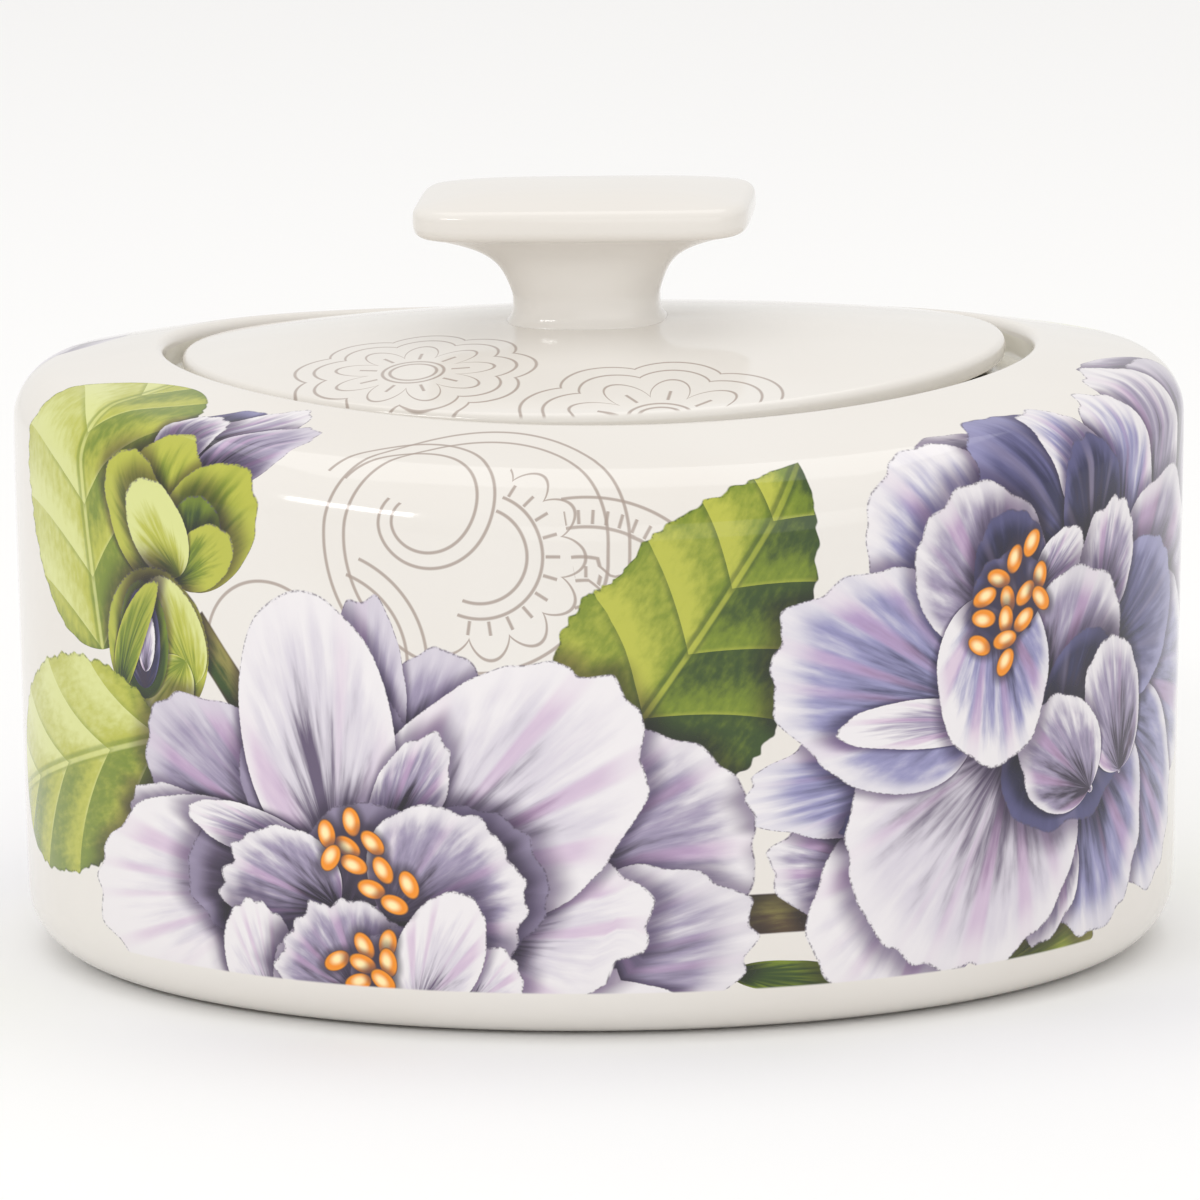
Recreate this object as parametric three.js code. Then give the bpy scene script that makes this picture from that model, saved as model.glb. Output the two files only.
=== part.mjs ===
import * as THREE from "three";

// Overall sizes of the oval bowl, in millimetres. X is the long axis and Z is up.
const halfLength = 62.5;
const halfDepth = 50;
const crownHeight = 68.3;
const dropAlong = 0.00146;
const dropAcross = 0.0042;

// Outer skin of the bowl.
const wallDraft = 0.8;
const footRadius = 7;
const shoulderRadius = 5.2;
const wall = 3.6;
const floorThickness = 4.4;
const recessDepth = 1.5;
const footRingWidth = 4.5;
const innerFootRadius = 7;

// Mouth of the bowl and the ledge the lid sits on.
const mouthHalfLength = 46.3;
const mouthHalfDepth = 35.6;
const lipRadius = 1.3;
const seatDepth = 4;
const seatWidth = 5;
const ledgeThickness = 3.2;

// Lid.
const lidGap = 2.4;
const lidRise = -0.5;
const seatClearance = 0.5;
const lidEdgeRadius = 1.3;
const flangeGap = 1.1;
const flangeDrop = 5;
const flangeThickness = 3;
const lidHollow = 0.8;

// Knob: a short stem that flares into a flat bar.
const barHalfLength = 17.9;
const barHalfDepth = 11.9;
const barUnderside = 77.4;
const barTop = 80.4;
const barCrown = 1.2;
const barEdgeRadius = 1.2;
const stemHalfLength = 7.8;
const stemHalfDepth = 6.2;
const stemNarrowest = 69.4;
const slipFillet = 0.5;
const jointGap = 0.3;
const barSquareness = 5.5;
const stemRoundness = 2.7;
const flareSteps = 9;

// The loose lid sits a little askew in its mouth: one end rests on the ledge, the other rides up.
const lidTilt = THREE.MathUtils.degToRad(-1);
const lidTurn = THREE.MathUtils.degToRad(-2);
const lidShift = -0.6;
const lidLift = 0.45;
const knobTurn = THREE.MathUtils.degToRad(-4.5);

// Where the flat middles of the base and floor, the lid's top and its underside get a ring.
const middleShare = 0.4;
const outerShare = 0.72;

const bowlSegments = 60;
const lidSegments = 60;
const knobSegments = 40;

// Height of the crowned top of the closed bowl above a point of the base plane.
const crown = (x, y) => crownHeight - dropAlong * x * x - dropAcross * y * y;

// One closed ring: an oval, or a rounder or squarer one when power isn't 2.
function ring(halfX, halfY, height, power = 2) {
  return { halfX, halfY, height, power };
}

// A level, and a height measured from the crowned top.
const level = (z) => () => z;
const below = (drop) => (x, y) => crown(x, y) - drop;

// Rings round a quarter turn, from 0 to 1, both ends included.
function quarter(steps, make) {
  return Array.from({ length: steps + 1 }, (_, i) => {
    const turn = ((i / steps) * Math.PI) / 2;
    return make(Math.sin(turn), Math.cos(turn));
  });
}

// A closed skin through the rings. The first and last rings are drawn together on the axis.
function skin(rings, segments) {
  const points = [];
  const faces = [];
  const last = rings.length - 1;
  rings.forEach((r, row) => {
    const pole = row === 0 || row === last;
    const count = pole ? 1 : segments;
    for (let i = 0; i < count; i++) {
      const turn = (i / segments) * 2 * Math.PI;
      const c = Math.cos(turn);
      const s = Math.sin(turn);
      const x = pole ? 0 : r.halfX * Math.sign(c) * Math.abs(c) ** (2 / r.power);
      const y = pole ? 0 : r.halfY * Math.sign(s) * Math.abs(s) ** (2 / r.power);
      points.push(x, y, r.height(x, y));
    }
  });
  const start = (row) => (row === 0 ? 0 : 1 + (row - 1) * segments);
  for (let i = 0; i < segments; i++) {
    const next = (i + 1) % segments;
    faces.push(0, start(1) + next, start(1) + i);
    for (let row = 1; row < last - 1; row++) {
      const low = start(row);
      const high = start(row + 1);
      faces.push(low + i, low + next, high + next);
      faces.push(low + i, high + next, high + i);
    }
    faces.push(start(last - 1) + i, start(last - 1) + next, start(last));
  }
  const geometry = new THREE.BufferGeometry();
  geometry.setAttribute("position", new THREE.Float32BufferAttribute(points, 3));
  geometry.setIndex(faces);
  geometry.computeVertexNormals();
  return geometry;
}

// Rings of the bowl, set in from the outline by the same distance all round.
const inset = (d, height) => ring(halfLength - d, halfDepth - d, height);
const mouth = (d, height) => ring(mouthHalfLength - d, mouthHalfDepth - d, height);

const footOut = wallDraft + footRadius;
const footIn = footOut + footRingWidth;
const innerWall = wall + wallDraft;
const ledgeEdge = lipRadius * 0.5;
const throat = seatDepth + ledgeThickness;

const bowlRings = [
  ring(0, 0, level(recessDepth)),
  ring(halfLength * middleShare, halfDepth * middleShare, level(recessDepth)),
  inset(footIn + 1.2, level(recessDepth)),
  inset(footIn + 0.3, level(recessDepth * 0.4)),
  inset(footIn, level(0)),
  ...quarter(7, (s, c) => inset(footOut - footRadius * s, level(footRadius * (1 - c)))),
  inset(wallDraft * 0.6, level(halfDepth * 0.5)),
  ...quarter(7, (s, c) => inset(shoulderRadius * (1 - c), below(shoulderRadius * (1 - s)))),
  mouth(-lipRadius - (halfLength - shoulderRadius - mouthHalfLength) * 0.5, below(0)),
  ...quarter(4, (s, c) => mouth(-lipRadius * (1 - s), below(lipRadius * (1 - c)))),
  mouth(0, below(seatDepth - ledgeEdge)),
  mouth(ledgeEdge * 0.3, below(seatDepth - ledgeEdge * 0.3)),
  mouth(ledgeEdge, below(seatDepth)),
  ...quarter(3, (s, c) => mouth(seatWidth - 1 + s, below(seatDepth + 1 - c))),
  mouth(seatWidth, below(throat - 1)),
  mouth(seatWidth - 1, below(throat)),
  inset(innerWall + shoulderRadius + 4, below(throat - 0.6)),
  ...quarter(5, (s, c) =>
    inset(innerWall + shoulderRadius * (1 - s), below(wall + 1 + shoulderRadius * (1 - c))),
  ),
  inset(innerWall, level(floorThickness + innerFootRadius + 20)),
  ...quarter(6, (s, c) =>
    inset(innerWall + 0.4 + innerFootRadius * (1 - c), level(floorThickness + innerFootRadius * (1 - s))),
  ),
  ring(halfLength * middleShare, halfDepth * middleShare, level(floorThickness)),
  ring(0, 0, level(floorThickness)),
];

// Rings of the lid, from the middle of its underside round to its crowned top.
const lidX = mouthHalfLength - lidGap;
const lidY = mouthHalfDepth - lidGap;
const lidRing = (d, height) => ring(lidX - d, lidY - d, height);
const underside = seatDepth - seatClearance;
const flangeOut = seatWidth - lidGap + flangeGap;
const flangeIn = flangeOut + flangeThickness;
const flangeFoot = underside + flangeDrop;

const lidRings = [
  ring(0, 0, below(underside + lidHollow)),
  ring(lidX * middleShare, lidY * middleShare, below(underside + lidHollow)),
  lidRing(flangeIn + 3.2, below(underside + lidHollow)),
  lidRing(flangeIn + 1, below(underside + lidHollow + 1.1)),
  lidRing(flangeIn + 0.4, below(underside + lidHollow + 2.6)),
  lidRing(flangeIn, below(flangeFoot - 0.9)),
  lidRing(flangeIn - 0.9, below(flangeFoot)),
  lidRing(flangeOut + 0.9, below(flangeFoot)),
  lidRing(flangeOut, below(flangeFoot - 0.9)),
  lidRing(flangeOut, below(underside + 0.5)),
  lidRing(flangeOut - 0.5, below(underside)),
  lidRing(0.5, below(underside)),
  lidRing(0, below(underside - 0.5)),
  ...quarter(4, (s, c) => lidRing(lidEdgeRadius * (1 - c), below(lidEdgeRadius * (1 - s) - lidRise))),
  ring(lidX * outerShare, lidY * outerShare, below(-lidRise)),
  ring(lidX * middleShare, lidY * middleShare, below(-lidRise)),
  ring(0, 0, below(-lidRise)),
];

// Rings of the knob: foot on the lid, narrow stem, flare, bar.
const foot = below(-lidRise - jointGap);
const lifted = (rise) => (x, y) => foot(x, y) + rise;
const flareRise = barUnderside - stemNarrowest;

// Part of the way up the flare, where share runs from 0 at the narrowest place to 1 at the bar.
function flare(share) {
  const spread = 0.28 * share + 0.72 * share ** 4.2;
  const reachX = barHalfLength - barEdgeRadius - stemHalfLength;
  const reachY = barHalfDepth - barEdgeRadius - stemHalfDepth;
  const halfX = stemHalfLength + reachX * spread;
  const halfY = stemHalfDepth + reachY * (0.25 * share + 0.75 * share ** 3);
  const power = stemRoundness + (barSquareness - stemRoundness) * share ** 2;
  return ring(halfX, halfY, level(stemNarrowest + flareRise * share), power);
}
const stem = (d, height) => ring(stemHalfLength + d, stemHalfDepth + d, height, stemRoundness);
const bar = (d, height) => ring(barHalfLength - d, barHalfDepth - d, height, barSquareness);

const knobRings = [
  ring(0, 0, foot),
  stem(slipFillet * 0.9, foot),
  stem(slipFillet, lifted(slipFillet * 0.5)),
  stem(slipFillet * 0.3, lifted(slipFillet * 0.9)),
  ...Array.from({ length: flareSteps + 1 }, (_, i) => flare(i / flareSteps)),
  ...quarter(3, (s, c) => bar(barEdgeRadius * (1 - s), level(barUnderside + barEdgeRadius * (1 - c)))).slice(1),
  ...quarter(4, (s, c) => bar(barEdgeRadius * (1 - c), level(barTop - barEdgeRadius * (1 - s)))),
  ring(barHalfLength * 0.6, barHalfDepth * 0.55, level(barTop + barCrown * 0.7), 3.5),
  ring(0, 0, level(barTop + barCrown)),
];

const glaze = (colour) => new THREE.MeshStandardMaterial({ color: colour, roughness: 0.15, metalness: 0 });

function piece(name, geometry, colour) {
  const mesh = new THREE.Mesh(geometry, glaze(colour));
  mesh.name = name;
  return mesh;
}

// The knob is set on the lid a little turned.
const knob = piece("knob", skin(knobRings, knobSegments), 0xeae5df);
knob.rotation.z = knobTurn;

// The lid and its knob tilt and turn together about the middle of the lid's top.
const lidPieces = new THREE.Group();
lidPieces.add(piece("lid", skin(lidRings, lidSegments), 0xeee9e4));
lidPieces.add(knob);
lidPieces.position.z = -crownHeight;

const seatedLid = new THREE.Group();
seatedLid.add(lidPieces);
seatedLid.rotation.set(0, lidTilt, lidTurn);
seatedLid.position.set(lidShift, 0, crownHeight + lidLift);

const sugarBowl = new THREE.Group();
sugarBowl.name = "sugar_bowl";
sugarBowl.add(piece("bowl", skin(bowlRings, bowlSegments), 0xece7e2));
sugarBowl.add(seatedLid);

export default sugarBowl;
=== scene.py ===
import math

import bpy
import numpy
from mathutils import Matrix, Vector


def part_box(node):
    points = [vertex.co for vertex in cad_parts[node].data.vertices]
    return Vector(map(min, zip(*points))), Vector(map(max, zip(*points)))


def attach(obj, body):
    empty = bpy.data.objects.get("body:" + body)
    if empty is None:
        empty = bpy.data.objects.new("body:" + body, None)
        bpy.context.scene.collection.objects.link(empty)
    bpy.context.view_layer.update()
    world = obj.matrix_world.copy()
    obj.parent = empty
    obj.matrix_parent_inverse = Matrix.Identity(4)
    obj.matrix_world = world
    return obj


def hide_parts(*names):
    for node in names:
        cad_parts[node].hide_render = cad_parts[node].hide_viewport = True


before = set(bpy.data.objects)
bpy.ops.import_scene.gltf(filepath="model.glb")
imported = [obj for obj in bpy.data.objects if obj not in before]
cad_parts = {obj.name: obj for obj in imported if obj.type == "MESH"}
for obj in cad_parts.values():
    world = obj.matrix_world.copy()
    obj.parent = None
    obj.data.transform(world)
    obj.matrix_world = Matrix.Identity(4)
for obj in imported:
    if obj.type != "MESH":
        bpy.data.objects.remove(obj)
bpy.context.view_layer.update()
mm = 0.001


def clearSelection():
    if bpy.context.object and bpy.context.object.mode != "OBJECT":
        bpy.ops.object.mode_set(mode="OBJECT")
    bpy.ops.object.select_all(action="DESELECT")


def startRing(name, halfX, halfY, z, sides):  # a bare ring of edges, left open in edit mode
    clearSelection()
    bpy.ops.mesh.primitive_circle_add(vertices=sides, radius=1, fill_type="NOTHING", location=(0, 0, z))
    piece = bpy.context.object
    piece.name = piece.data.name = name
    piece.scale = (halfX, halfY, 1)
    bpy.ops.object.transform_apply(location=True, rotation=False, scale=True)
    bpy.ops.object.mode_set(mode="EDIT")
    bpy.ops.mesh.select_mode(type="VERT")
    bpy.ops.mesh.select_all(action="SELECT")
    return piece


def nextRing(last, ring):  # pulls the selected ring up or down and to its new size
    bpy.ops.mesh.extrude_edges_move(TRANSFORM_OT_translate={"value": (0, 0, ring[2] - last[2])})
    bpy.ops.transform.resize(value=(ring[0] / last[0], ring[1] / last[1], 1), center_override=(0, 0, 0))


def closeRing(drop=0):  # draws the selected ring together on the axis
    bpy.ops.mesh.extrude_edges_move(TRANSFORM_OT_translate={"value": (0, 0, drop)})
    bpy.ops.mesh.merge(type="CENTER")


def pullProfile(name, rings, sides):  # rings are (half length, half depth, height), foot first
    piece = startRing(name, *rings[0], sides)
    for last, ring in zip(rings, rings[1:]):
        nextRing(last, ring)
    closeRing()
    bpy.ops.object.mode_set(mode="OBJECT")
    firstRing = range(sides)
    for vertex in piece.data.vertices:
        vertex.select = vertex.index in firstRing
    for edge in piece.data.edges:
        edge.select = all(i in firstRing for i in edge.vertices)
    bpy.ops.object.mode_set(mode="EDIT")
    closeRing()
    bpy.ops.mesh.select_all(action="SELECT")
    bpy.ops.mesh.normals_make_consistent(inside=False)
    bpy.ops.object.mode_set(mode="OBJECT")
    return piece


def crownPiece(piece, crown):  # the flat top sinks towards the front, the back and the ends
    for vertex in piece.data.vertices:
        x, y, z = vertex.co
        share = min(max((z - crown["from"]) / (crown["full"] - crown["from"]), 0), 1)
        vertex.co.z -= share * (crown["along"] * x * x + crown["across"] * y * y)


def smoothPiece(piece, levels):
    clearSelection()
    piece.select_set(True)
    bpy.context.view_layer.objects.active = piece
    smooth = piece.modifiers.new("smooth", "SUBSURF")
    smooth.levels = smooth.render_levels = levels
    bpy.ops.object.modifier_apply(modifier=smooth.name)
    bpy.ops.object.shade_smooth()


def quarterTurn(steps):  # sine and cosine over a quarter turn
    turns = [i / steps * math.pi / 2 for i in range(steps + 1)]
    return [(math.sin(turn), math.cos(turn)) for turn in turns]


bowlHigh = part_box("bowl")[1]
crown = {
    "top": 68.3 * mm,
    "along": 1.46,
    "across": 4.2,
    "from": 20 * mm,
    "full": 50 * mm,
}
bowlShape = {
    "halfLength": bowlHigh[0],
    "halfDepth": bowlHigh[1],
    "sides": 72,
    "draft": 0.8 * mm,
    "footRadius": 7 * mm,
    "shoulderRadius": 5.2 * mm,
    "wall": 3.6 * mm,
    "floor": 4.4 * mm,
    "recess": 1.5 * mm,
    "footRing": 4.5 * mm,
    "mouthLength": 46.3 * mm,
    "mouthDepth": 35.6 * mm,
    "lip": 1.3 * mm,
    "seatDepth": 4 * mm,
    "seatWidth": 5 * mm,
    "ledge": 3.2 * mm,
}


def bowlProfile(s):  # the ring list, and how far along the outer skin each ring lies
    def inset(d, z):
        return s["halfLength"] - d, s["halfDepth"] - d, z

    def mouth(d, drop):
        return s["mouthLength"] - d, s["mouthDepth"] - d, crown["top"] - drop

    footOut = s["draft"] + s["footRadius"]
    footIn = footOut + s["footRing"]
    rings = [
        inset(footIn + 22 * mm, s["recess"]),
        inset(footIn + 2 * mm, s["recess"]),
        inset(footIn + 0.7 * mm, s["recess"] * 0.9),
        inset(footIn + 0.25 * mm, s["recess"] * 0.3),
        inset(footIn, 0.1 * mm),
        inset(footIn - 0.3 * mm, 0),
    ]
    outerStart = len(rings)
    rings += [inset(footOut - s["footRadius"] * a, s["footRadius"] * (1 - b)) for a, b in quarterTurn(8)]
    wallTop = crown["top"] - s["shoulderRadius"]
    rings += [
        inset(s["draft"] * (1 - share), wallTop * share + s["footRadius"] * (1 - share))
        for share in (0.25, 0.5, 0.75)
    ]
    rings += [
        inset(s["shoulderRadius"] * (1 - b), crown["top"] - s["shoulderRadius"] * (1 - a))
        for a, b in quarterTurn(8)
    ]
    topWidth = s["halfLength"] - s["shoulderRadius"] - s["mouthLength"] - s["lip"]
    rings += [mouth(-s["lip"] - topWidth * share, 0) for share in (0.66, 0.33)]
    rings += [mouth(-s["lip"] * (1 - a), s["lip"] * (1 - b)) for a, b in quarterTurn(5)]
    outerEnd = len(rings)
    rings += [
        mouth(0, s["seatDepth"] - 0.9 * mm),
        mouth(0.15 * mm, s["seatDepth"] - 0.2 * mm),
        mouth(0.8 * mm, s["seatDepth"]),
        mouth(s["seatWidth"] - 1.2 * mm, s["seatDepth"]),
        mouth(s["seatWidth"] - 0.3 * mm, s["seatDepth"] + 0.3 * mm),
        mouth(s["seatWidth"], s["seatDepth"] + 1.1 * mm),
        mouth(s["seatWidth"], s["seatDepth"] + s["ledge"] - 1 * mm),
        mouth(s["seatWidth"] - 1 * mm, s["seatDepth"] + s["ledge"]),
    ]
    inner = s["wall"] + s["draft"]
    radius = s["shoulderRadius"]
    rings += [inset(inner + radius + 3 * mm, crown["top"] - s["seatDepth"] - s["ledge"] + 0.8 * mm)]
    rings += [
        inset(inner + radius * (1 - a), crown["top"] - s["wall"] - 1 * mm - radius * (1 - b))
        for a, b in quarterTurn(5)
    ]
    rings += [inset(inner, 45 * mm), inset(inner, 28 * mm)]
    rings += [
        inset(inner + 0.4 * mm + s["footRadius"] * (1 - b), s["floor"] + s["footRadius"] * (1 - a))
        for a, b in quarterTurn(6)
    ]
    rings += [inset(inner + 22 * mm, s["floor"])]
    return rings, outerStart, outerEnd


def ovalArc(turn, halfLength, halfDepth, steps=60):  # distance round the oval from the front
    step = turn / steps
    return sum(
        math.hypot(halfLength * math.cos(step * (i + 0.5)), halfDepth * math.sin(step * (i + 0.5))) * step
        for i in range(steps)
    )


def layPrintMap(piece, outerStart, outerEnd, shape):  # a UV map in metres: round the oval, up the skin
    sides = shape["sides"]
    vertices = piece.data.vertices
    step = 2 * math.pi / sides
    around = [ovalArc(i * step, shape["halfLength"], shape["halfDepth"]) for i in range(sides + 1)]
    columns = []
    for column in range(sides):
        lengths = {outerStart: 0.0}
        for ring in range(outerStart + 1, outerEnd):
            here = vertices[ring * sides + column].co
            before = vertices[(ring - 1) * sides + column].co
            lengths[ring] = lengths[ring - 1] + (here - before).length
        columns.append(lengths)
    away = -1.0
    layer = piece.data.uv_layers.new(name="print")
    for face in piece.data.polygons:
        places = []
        for index in face.vertices:
            x, y, _ = vertices[index].co
            turn = math.atan2(x / shape["halfLength"], -y / shape["halfDepth"]) % (2 * math.pi)
            places.append(round(turn / step) % sides)
        crossing = max(places) - min(places) > sides / 2
        for loop, index, place in zip(face.loop_indices, face.vertices, places):
            along = columns[index % sides].get(index // sides, away)
            if crossing and place == 0:
                place = sides
            layer.data[loop].uv = (around[place], along)


def makeBowl():
    rings, outerStart, outerEnd = bowlProfile(bowlShape)
    piece = pullProfile("bowlBody", rings, bowlShape["sides"])
    crownPiece(piece, crown)
    layPrintMap(piece, outerStart, outerEnd, bowlShape)
    smoothPiece(piece, 1)
    return piece


lidShape = {
    "sides": 72,
    "gap": 2.4 * mm,
    "rise": -1.15 * mm,
    "clearance": 0.5 * mm,
    "edge": 0.8 * mm,
    "flangeGap": 1.1 * mm,
    "flangeDrop": 5 * mm,
    "flange": 3 * mm,
    "hollow": 0.8 * mm,
    "topRings": [d * mm for d in (3, 8, 15, 22, 27, 31)],
}


def makeLid():
    s = lidShape
    halfX = bowlShape["mouthLength"] - s["gap"]
    halfY = bowlShape["mouthDepth"] - s["gap"]
    underside = bowlShape["seatDepth"] - s["clearance"]
    flangeOut = bowlShape["seatWidth"] - s["gap"] + s["flangeGap"]
    flangeIn = flangeOut + s["flange"]

    def ring(d, drop):
        return halfX - d, halfY - d, crown["top"] - drop

    dome = underside + s["hollow"]
    foot = underside + s["flangeDrop"]
    rings = [
        ring(20 * mm, dome),
        ring(flangeIn + 3.2 * mm, dome),
        ring(flangeIn + 1 * mm, dome + 0.9 * mm),
        ring(flangeIn + 0.2 * mm, dome + 2.4 * mm),
        ring(flangeIn, foot - 1 * mm),
        ring(flangeIn - 0.3 * mm, foot - 0.2 * mm),
        ring(flangeIn - 1 * mm, foot),
        ring(flangeOut + 1 * mm, foot),
        ring(flangeOut + 0.2 * mm, foot - 0.2 * mm),
        ring(flangeOut, foot - 1 * mm),
        ring(flangeOut, underside + 0.6 * mm),
        ring(flangeOut - 0.2 * mm, underside + 0.1 * mm),
        ring(flangeOut - 0.8 * mm, underside),
        ring(0.7 * mm, underside),
        ring(0.1 * mm, underside - 0.15 * mm),
        ring(0, underside - 0.7 * mm),
    ]
    rings += [ring(s["edge"] * (1 - b), s["edge"] * (1 - a) - s["rise"]) for a, b in quarterTurn(6)]
    rings += [ring(d, -s["rise"]) for d in s["topRings"]]
    piece = pullProfile("lidPlate", rings, s["sides"])
    crownPiece(piece, crown)
    seatLid(piece)
    smoothPiece(piece, 1)
    return piece


lidSeat = {"tilt": math.radians(-1), "turn": math.radians(-2), "shift": (-0.6 * mm, 0.5 * mm, 0.45 * mm)}


def seatLid(piece):  # the loose lid and its knob sit a little askew in the mouth
    pivot = Vector((0, 0, crown["top"]))
    place = Matrix.Translation(pivot + Vector(lidSeat["shift"]))
    place @= Matrix.Rotation(lidSeat["turn"], 4, "Z") @ Matrix.Rotation(lidSeat["tilt"], 4, "Y")
    piece.data.transform(place @ Matrix.Translation(-pivot))


knobShape = {
    "sides": 64,
    "barLength": 17.9 * mm,
    "barDepth": 11.9 * mm,
    "barUnder": 76.9 * mm,
    "barTop": 80.4 * mm,
    "barCrown": 1.2 * mm,
    "barEdge": 1.2 * mm,
    "stemLength": 7.8 * mm,
    "stemDepth": 6.2 * mm,
    "stemWaist": 69.8 * mm,
    "fillet": 0.9 * mm,
    "shift": -0.6 * mm,
    "sunk": 0.35 * mm,
    "round": 2.7,
    "square": 5.5,
    "turn": math.radians(-4.5),
}


def makeKnob():
    s = knobShape
    foot = crown["top"] + lidShape["rise"] - s["sunk"]  # the stem's foot sinks into the lid
    rings = [(s["stemLength"] + s["fillet"] * 0.9, s["stemDepth"] + s["fillet"] * 0.9, foot, s["round"])]
    for spread, rise in ((0.9, 0.3), (0.5, 0.6), (0.24, 0.95), (0.07, 1.45)):
        grow = s["fillet"] * spread
        rings.append((s["stemLength"] + grow, s["stemDepth"] + grow, foot + rise * mm, s["round"]))
    steps = 12
    reachX = s["barLength"] - s["barEdge"] - s["stemLength"]
    reachY = s["barDepth"] - s["barEdge"] - s["stemDepth"]
    for i in range(steps + 1):
        share = i / steps
        rings.append((
            s["stemLength"] + reachX * (0.28 * share + 0.72 * share ** 4.2),
            s["stemDepth"] + reachY * (0.2 * share + 0.8 * share ** 4),
            s["stemWaist"] + (s["barUnder"] - s["stemWaist"]) * share,
            s["round"] + (s["square"] - s["round"]) * share ** 2,
        ))

    def bar(d, z):
        return s["barLength"] - d, s["barDepth"] - d, z, s["square"]

    edge = s["barEdge"]
    rings += [bar(edge * (1 - a), s["barUnder"] + edge * (1 - b)) for a, b in quarterTurn(4)[1:]]
    rings += [bar(edge * (1 - b), s["barTop"] - edge * (1 - a)) for a, b in quarterTurn(5)]
    rings += [
        (s["barLength"] * 0.8, s["barDepth"] * 0.72, s["barTop"] + s["barCrown"] * 0.45, 4.5),
        (s["barLength"] * 0.5, s["barDepth"] * 0.4, s["barTop"] + s["barCrown"] * 0.85, 3.5),
    ]
    piece = pullProfile("knobBar", [ring[:3] for ring in rings], s["sides"])
    squareCorners(piece, [ring[3] for ring in rings], s["sides"])
    for vertex in piece.data.vertices:
        x, y, z = vertex.co
        share = min(max((s["stemWaist"] - z) / (s["stemWaist"] - foot), 0), 1)
        vertex.co.z -= share * (crown["along"] * x * x + crown["across"] * y * y)
    piece.data.transform(Matrix.Translation((s["shift"], 0, 0)) @ Matrix.Rotation(s["turn"], 4, "Z"))
    seatLid(piece)
    smoothPiece(piece, 1)
    return piece


def squareCorners(piece, powers, sides):  # swells each ring from an ellipse to a rounder or squarer oval
    for vertex in piece.data.vertices:
        ring = vertex.index // sides
        if ring >= len(powers):
            continue
        turn = (vertex.index % sides) * 2 * math.pi / sides
        pull = 1 - 2 / powers[ring]
        for axis, wave in ((0, abs(math.sin(turn))), (1, abs(math.cos(turn)))):
            if wave > 1e-6:
                vertex.co[axis] *= wave ** -pull


bowl = makeBowl()
lid = makeLid()
knob = makeKnob()
print("pieces modelled:", [len(piece.data.polygons) for piece in (bowl, lid, knob)])

for piece, node, body in (
    (bowl, "bowl", "bowl_body"),
    (lid, "lid", "lid_body"),
    (knob, "knob", "lid_body"),
):
    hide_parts(node)
    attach(piece, body)


def feed(tree, socket, value):
    if isinstance(value, bpy.types.NodeSocket):
        tree.links.new(value, socket)
    elif value is not None:
        socket.default_value = value


def maths(tree, operation, first, second=None, third=None, clamp=False):
    node = tree.nodes.new("ShaderNodeMath")
    node.operation = operation
    node.use_clamp = clamp
    for socket, value in zip(node.inputs, (first, second, third)):
        feed(tree, socket, value)
    return node.outputs[0]


def times(tree, first, second):
    return maths(tree, "MULTIPLY", first, second)


def minus(tree, first, second):
    return maths(tree, "SUBTRACT", first, second)


def vectorMaths(tree, operation, first, second=None, third=None, output=0):
    node = tree.nodes.new("ShaderNodeVectorMath")
    node.operation = operation
    for socket, value in zip(node.inputs, (first, second, third)):
        feed(tree, socket, value)
    return node.outputs[output]


def ramp(tree, value, low, high, toLow=0.0, toHigh=1.0):  # a soft step from low to high
    node = tree.nodes.new("ShaderNodeMapRange")
    node.interpolation_type = "SMOOTHSTEP"
    for socket, item in zip(node.inputs, (value, low, high, toLow, toHigh)):
        feed(tree, socket, item)
    return node.outputs[0]


def mixColour(tree, share, first, second, blend="MIX"):
    node = tree.nodes.new("ShaderNodeMix")
    node.data_type = "RGBA"
    node.blend_type = blend
    feed(tree, node.inputs[0], share)
    feed(tree, node.inputs[6], first)
    feed(tree, node.inputs[7], second)
    return node.outputs[2]


def joinXyz(tree, x=0.0, y=0.0, z=0.0):
    node = tree.nodes.new("ShaderNodeCombineXYZ")
    for socket, value in zip(node.inputs, (x, y, z)):
        feed(tree, socket, value)
    return node.outputs[0]


def splitXyz(tree, vector):
    node = tree.nodes.new("ShaderNodeSeparateXYZ")
    tree.links.new(vector, node.inputs[0])
    return node.outputs[0], node.outputs[1], node.outputs[2]


def noise(tree, place, scale, detail=2.0, dimensions="3D"):  # place is a vector, or a number for 1D
    node = tree.nodes.new("ShaderNodeTexNoise")
    node.noise_dimensions = dimensions
    feed(tree, node.inputs["W" if dimensions == "1D" else "Vector"], place)
    node.inputs["Scale"].default_value = scale
    node.inputs["Detail"].default_value = detail
    return node.outputs["Fac"]


def localXy(tree, start, anchor):  # the place as seen from the stroke's own base and direction
    node = tree.nodes.new("ShaderNodeVectorRotate")
    node.rotation_type = "Z_AXIS"
    node.invert = True
    feed(tree, node.inputs["Vector"], start["Place"])
    feed(tree, node.inputs["Center"], start[anchor])
    feed(tree, node.inputs["Angle"], start["Turn"])
    return vectorMaths(tree, "SUBTRACT", node.outputs[0], start[anchor])


def bowed(tree, start, x, y):  # how far y is from the stroke's curved middle line
    return minus(tree, y, times(tree, times(tree, x, x), start["Bend"]))


socketKinds = {"number": "NodeSocketFloat", "place": "NodeSocketVector", "colour": "NodeSocketColor"}


def newGroup(name, takes, gives):  # takes and gives are {kind: "label, label"}
    tree = bpy.data.node_groups.new(name, "ShaderNodeTree")
    for labels, way in ((takes, "INPUT"), (gives, "OUTPUT")):
        for kind, names in labels.items():
            for label in names.split(", "):
                tree.interface.new_socket(label, in_out=way, socket_type=socketKinds[kind])
    start = tree.nodes.new("NodeGroupInput").outputs
    end = tree.nodes.new("NodeGroupOutput").inputs
    return tree, start, end


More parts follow.
